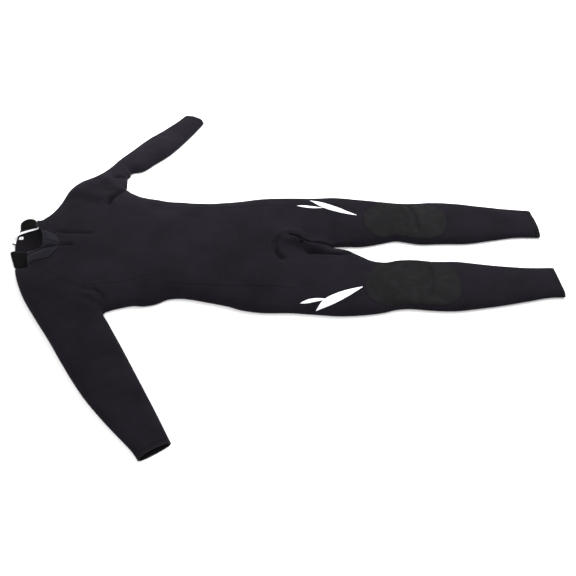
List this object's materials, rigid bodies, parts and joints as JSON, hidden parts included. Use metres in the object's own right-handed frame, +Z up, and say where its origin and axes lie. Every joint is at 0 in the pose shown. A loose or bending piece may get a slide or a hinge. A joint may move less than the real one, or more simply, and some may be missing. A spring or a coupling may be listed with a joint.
{
  "type": "full-length wetsuit",
  "caption": "Full-length neoprene wetsuit with long sleeves, short stand-up collar, back zip and padded knees, laid flat on its back with sleeves spread.",
  "frame": {"origin": "on the surface the suit lies on, at the centre of its bounding box", "axes": "+X from the neck to the ankles, +Y towards the wearer's left, +Z up, out of the suit's front"},
  "size_m": [1.6, 1.3984, 0.0596],
  "materials": {
    "body_knit": "matte",
    "hem_band": "matte",
    "gusset_knit": "matte",
    "collar_skin": "satin",
    "loop_pile": "matte",
    "tab_skin": "satin",
    "hook_strip": "matte",
    "label_cloth": "matte",
    "zip_tape": "matte",
    "zip_teeth": "satin",
    "zip_metal": "satin",
    "knee_rubber": "matte",
    "thigh_print": "matte"
  },
  "bodies": {
    "torso": {"chest_panel": "body_knit", "right_shoulder_panel": "body_knit", "left_shoulder_panel": "body_knit", "right_side_panel": "body_knit", "left_side_panel": "body_knit", "upper_back_panel": "body_knit", "seat_panel": "body_knit", "crotch_gusset": "gusset_knit", "front_collar": "collar_skin", "collar_right_end": "collar_skin", "collar_left_end": "collar_skin", "loop_patch": "loop_pile", "neck_label": "label_cloth", "zip_facing_right": "gusset_knit", "zip_facing_left": "gusset_knit", "zip_tape_right": "zip_tape", "zip_tape_left": "zip_tape", "zip_chain_right": "zip_teeth", "zip_chain_left": "zip_teeth", "zip_top_end": "zip_teeth", "zip_bottom_stop": "zip_metal", "zip_guard_flap": "gusset_knit"},
    "closing_tab": {"collar_tab": "tab_skin", "hook_patch": "hook_strip"},
    "slider": {"zip_slider": "zip_metal"},
    "pull": {"zip_pull": "zip_metal"},
    "right_upper_arm": {"right_upper_sleeve_front": "body_knit", "right_upper_sleeve_back": "body_knit"},
    "right_forearm": {"right_forearm_front": "body_knit", "right_forearm_back": "body_knit", "right_wrist_hem": "hem_band"},
    "left_upper_arm": {"left_upper_sleeve_front": "body_knit", "left_upper_sleeve_back": "body_knit"},
    "left_forearm": {"left_forearm_front": "body_knit", "left_forearm_back": "body_knit", "left_wrist_hem": "hem_band"},
    "right_thigh": {"right_thigh_front": "body_knit", "right_thigh_back": "body_knit", "right_thigh_print": "thigh_print", "right_knee_pad_upper": "knee_rubber"},
    "right_shin": {"right_shin_front": "body_knit", "right_shin_back": "body_knit", "right_knee_pad_lower": "knee_rubber", "right_ankle_hem": "hem_band"},
    "left_thigh": {"left_thigh_front": "body_knit", "left_thigh_back": "body_knit", "left_thigh_print": "thigh_print", "left_knee_pad_upper": "knee_rubber"},
    "left_shin": {"left_shin_front": "body_knit", "left_shin_back": "body_knit", "left_knee_pad_lower": "knee_rubber", "left_ankle_hem": "hem_band"}
  },
  "joints": [
    {"name": "right_hip_fold", "type": "hinge", "parent": "torso", "child": "right_thigh", "pos_m": [0.03, -0.12, 0.04], "axis": [0, -1, 0], "range_deg": [0, 60]},
    {"name": "right_knee_fold", "type": "hinge", "parent": "right_thigh", "child": "right_shin", "pos_m": [0.385, -0.136, 0.0354], "axis": [0, -1, 0], "range_deg": [0, 120]},
    {"name": "left_hip_fold", "type": "hinge", "parent": "torso", "child": "left_thigh", "pos_m": [0.03, 0.112, 0.04], "axis": [0, -1, 0], "range_deg": [0, 60]},
    {"name": "left_knee_fold", "type": "hinge", "parent": "left_thigh", "child": "left_shin", "pos_m": [0.385, 0.122, 0.0354], "axis": [0, -1, 0], "range_deg": [0, 120]},
    {"name": "right_shoulder_fold", "type": "hinge", "parent": "torso", "child": "right_upper_arm", "pos_m": [-0.549, -0.2825, 0.0363], "axis": [-0.8387, -0.5446, 0], "range_deg": [0, 60]},
    {"name": "right_elbow_fold", "type": "hinge", "parent": "right_upper_arm", "child": "right_forearm", "pos_m": [-0.4319, -0.46281, 0.0333], "axis": [-0.8387, -0.5446, 0], "range_deg": [0, 120]},
    {"name": "left_shoulder_fold", "type": "hinge", "parent": "torso", "child": "left_upper_arm", "pos_m": [-0.545, 0.3345, 0.0483], "axis": [0.809, -0.5878, 0], "range_deg": [0, 60]},
    {"name": "left_elbow_fold", "type": "hinge", "parent": "left_upper_arm", "child": "left_forearm", "pos_m": [-0.43038, 0.49226, 0.0444], "axis": [0.809, -0.5878, 0], "range_deg": [0, 120]},
    {"name": "collar_tab_fold", "type": "hinge", "parent": "torso", "child": "closing_tab", "pos_m": [-0.79605, 0.09519, 0.0055], "axis": [0.9678, 0.2516, 0], "range_deg": [0, 130]},
    {"name": "zip_slide", "type": "slide", "parent": "torso", "child": "slider", "axis": [1, 0, 0], "range_m": [-0.045, 0.38]},
    {"name": "zip_pull_swing", "type": "hinge", "parent": "slider", "child": "pull", "pos_m": [-0.638, 0.012, 0.0026], "axis": [0, 1, 0], "range_deg": [0, 150]}
  ]
}
